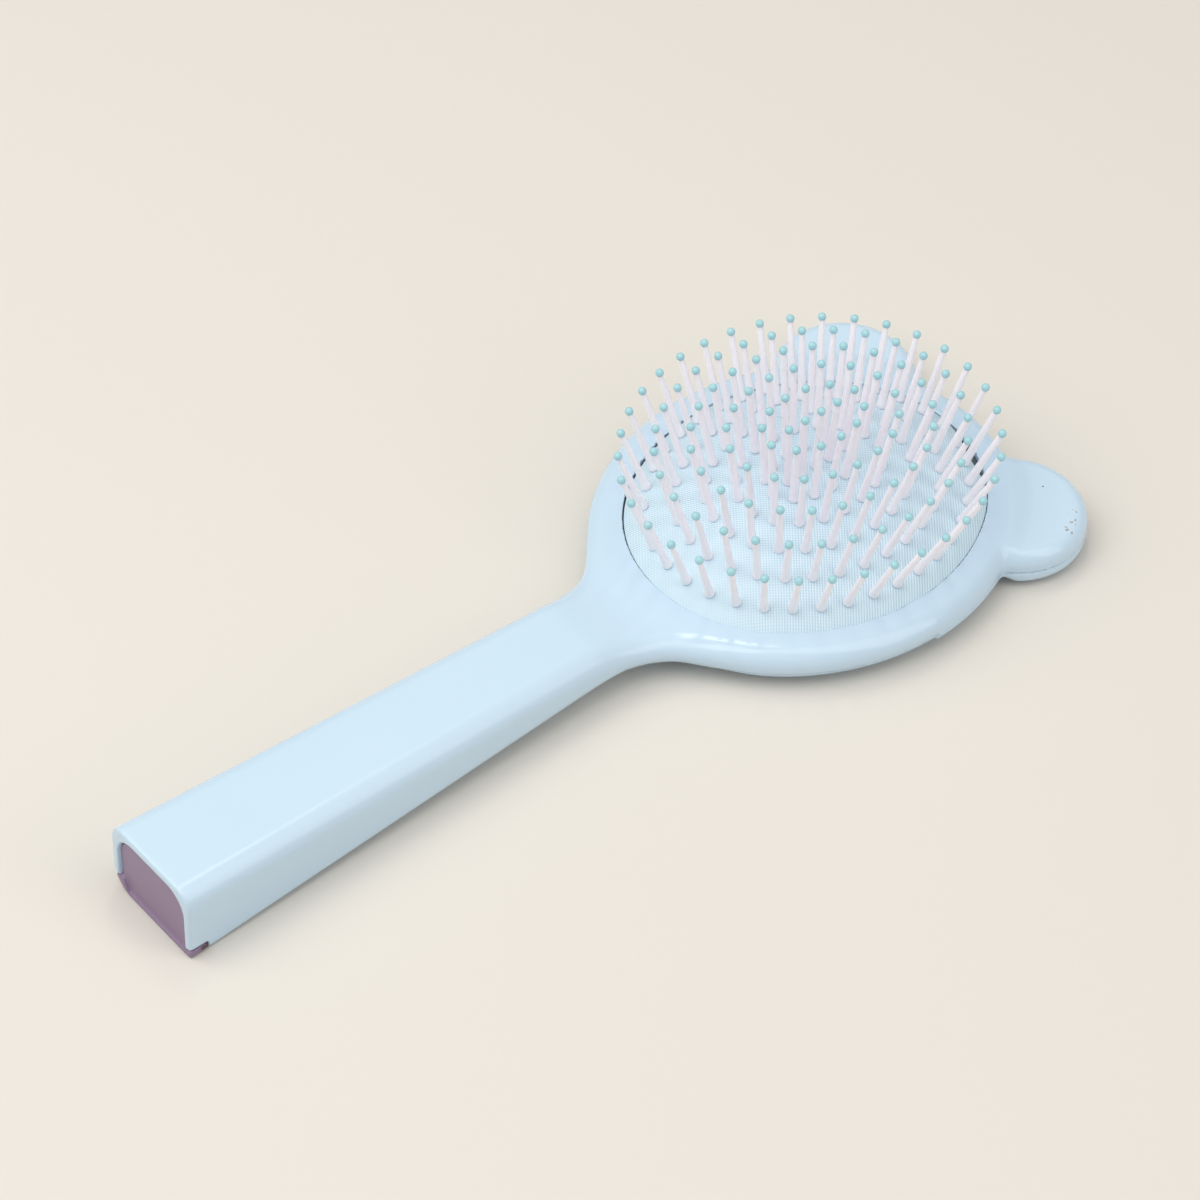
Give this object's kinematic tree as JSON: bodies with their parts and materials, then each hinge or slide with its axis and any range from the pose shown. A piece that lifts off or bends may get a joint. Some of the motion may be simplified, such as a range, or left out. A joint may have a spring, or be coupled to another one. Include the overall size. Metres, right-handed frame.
{
  "type": "oval cushion hairbrush with ears and a back mirror",
  "caption": "Bear-eared oval hairbrush: air cushion with ball-tipped pins in front, round mirror behind, hollow tapered handle with an end plug.",
  "frame": {"origin": "on the resting plane under the middle of the brush's bounding box", "axes": "+X along the handle towards the head, +Z out of the cushion along the pins, Y across"},
  "size_m": [0.216, 0.0836, 0.0362],
  "materials": {
    "aqua_plastic": "glossy moulded ABS",
    "mauve_plastic": "satin moulded ABS",
    "mirror_glass": "silvered glass",
    "adhesive_foam": "double-sided foam tape",
    "cushion_rubber": "soft rubber with a fine moulded grid",
    "base_plastic": "moulded polypropylene",
    "zinc_screw": "zinc-plated steel",
    "pin_nylon": "white nylon",
    "tip_nylon": "aqua dipped nylon ball"
  },
  "bodies": {
    "brush": {"front_frame": "aqua_plastic", "back_cover": "aqua_plastic", "mirror": "mirror_glass", "mirror_tape": "adhesive_foam", "cushion": "cushion_rubber", "cushion_base": "base_plastic", "cover_screws": "zinc_screw", "handle_plug": "mauve_plastic"},
    "pins_body_ring_1": {"pins_ring_1": "pin_nylon", "tips_ring_1": "tip_nylon"},
    "pins_body_ring_2": {"pins_ring_2": "pin_nylon", "tips_ring_2": "tip_nylon"},
    "pins_body_ring_3": {"pins_ring_3": "pin_nylon", "tips_ring_3": "tip_nylon"},
    "pins_body_ring_4": {"pins_ring_4": "pin_nylon", "tips_ring_4": "tip_nylon"},
    "pins_body_ring_5": {"pins_ring_5": "pin_nylon", "tips_ring_5": "tip_nylon"},
    "pins_body_row": {"pins_row": "pin_nylon", "tips_row": "tip_nylon"}
  },
  "joints": [
    {"name": "cushion_press", "type": "slide", "parent": "brush", "child": "pins_body_row", "axis": [0, 0, -1], "range_m": [0, 0.005], "stiffness_N_per_m": 2000, "deforming": ["cushion"]},
    {"name": "press_ring_1", "type": "slide", "parent": "brush", "child": "pins_body_ring_1", "axis": [0, 0, -1], "range_m": [0, 0.00177], "stiffness_N_per_m": 2000},
    {"name": "press_ring_2", "type": "slide", "parent": "brush", "child": "pins_body_ring_2", "axis": [0, 0, -1], "range_m": [0, 0.00298], "stiffness_N_per_m": 2000},
    {"name": "press_ring_3", "type": "slide", "parent": "brush", "child": "pins_body_ring_3", "axis": [0, 0, -1], "range_m": [0, 0.00392], "stiffness_N_per_m": 2000},
    {"name": "press_ring_4", "type": "slide", "parent": "brush", "child": "pins_body_ring_4", "axis": [0, 0, -1], "range_m": [0, 0.00459], "stiffness_N_per_m": 2000},
    {"name": "press_ring_5", "type": "slide", "parent": "brush", "child": "pins_body_ring_5", "axis": [0, 0, -1], "range_m": [0, 0.005], "stiffness_N_per_m": 2000}
  ],
  "couplings": [
    {"joint": "press_ring_1", "follows": "cushion_press", "ratio": 0.343},
    {"joint": "press_ring_2", "follows": "cushion_press", "ratio": 0.58},
    {"joint": "press_ring_3", "follows": "cushion_press", "ratio": 0.764},
    {"joint": "press_ring_4", "follows": "cushion_press", "ratio": 0.897},
    {"joint": "press_ring_5", "follows": "cushion_press", "ratio": 0.977}
  ]
}
